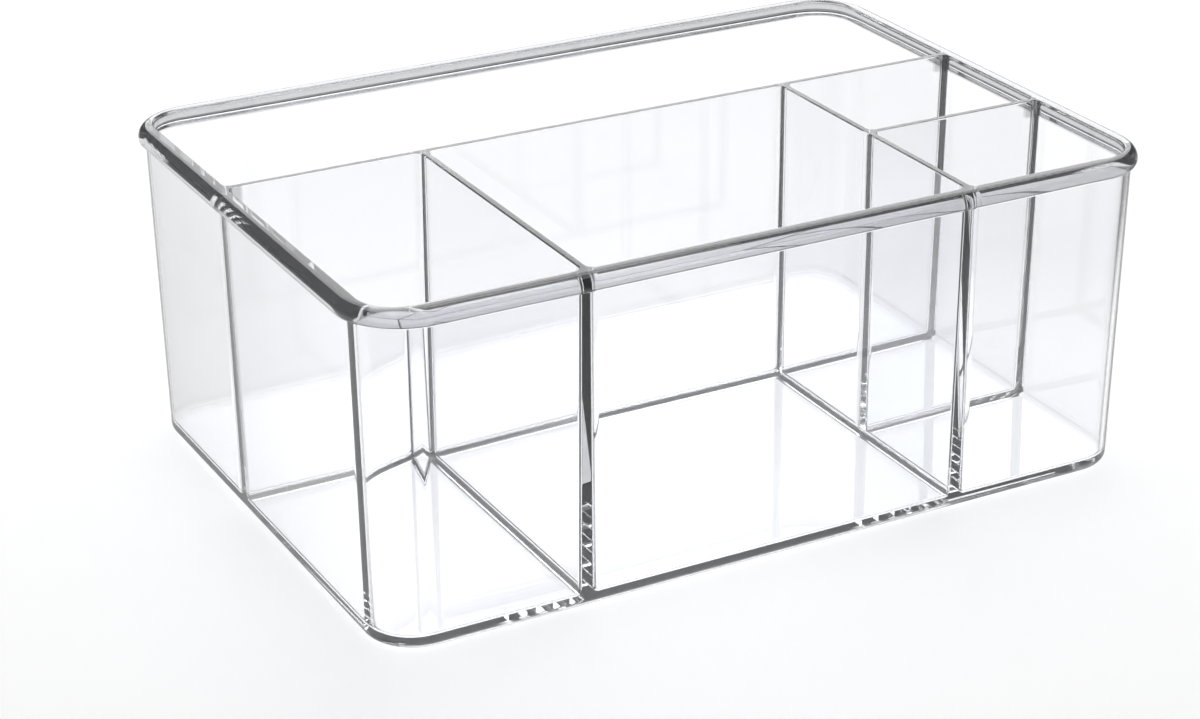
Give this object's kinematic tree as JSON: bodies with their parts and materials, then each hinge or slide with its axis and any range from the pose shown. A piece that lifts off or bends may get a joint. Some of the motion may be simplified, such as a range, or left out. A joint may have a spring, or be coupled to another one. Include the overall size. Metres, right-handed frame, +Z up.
{
  "type": "vanity organizer",
  "caption": "Clear rectangular open-top tray with a rounded rim, leaning walls and fixed dividers that part it into compartments for cosmetics.",
  "frame": {"origin": "middle of the flat base", "axes": "+X along the front from left to right, +Y from the front to the back, +Z up"},
  "size_m": [0.2572, 0.181, 0.1016],
  "materials": {
    "clear_plastic": "clear, polished moulding"
  },
  "bodies": {
    "root": {"tub": "clear_plastic", "rim_bead": "clear_plastic", "long_divider": "clear_plastic", "left_cross_divider": "clear_plastic", "right_cross_divider": "clear_plastic", "short_divider": "clear_plastic"}
  },
  "joints": []
}
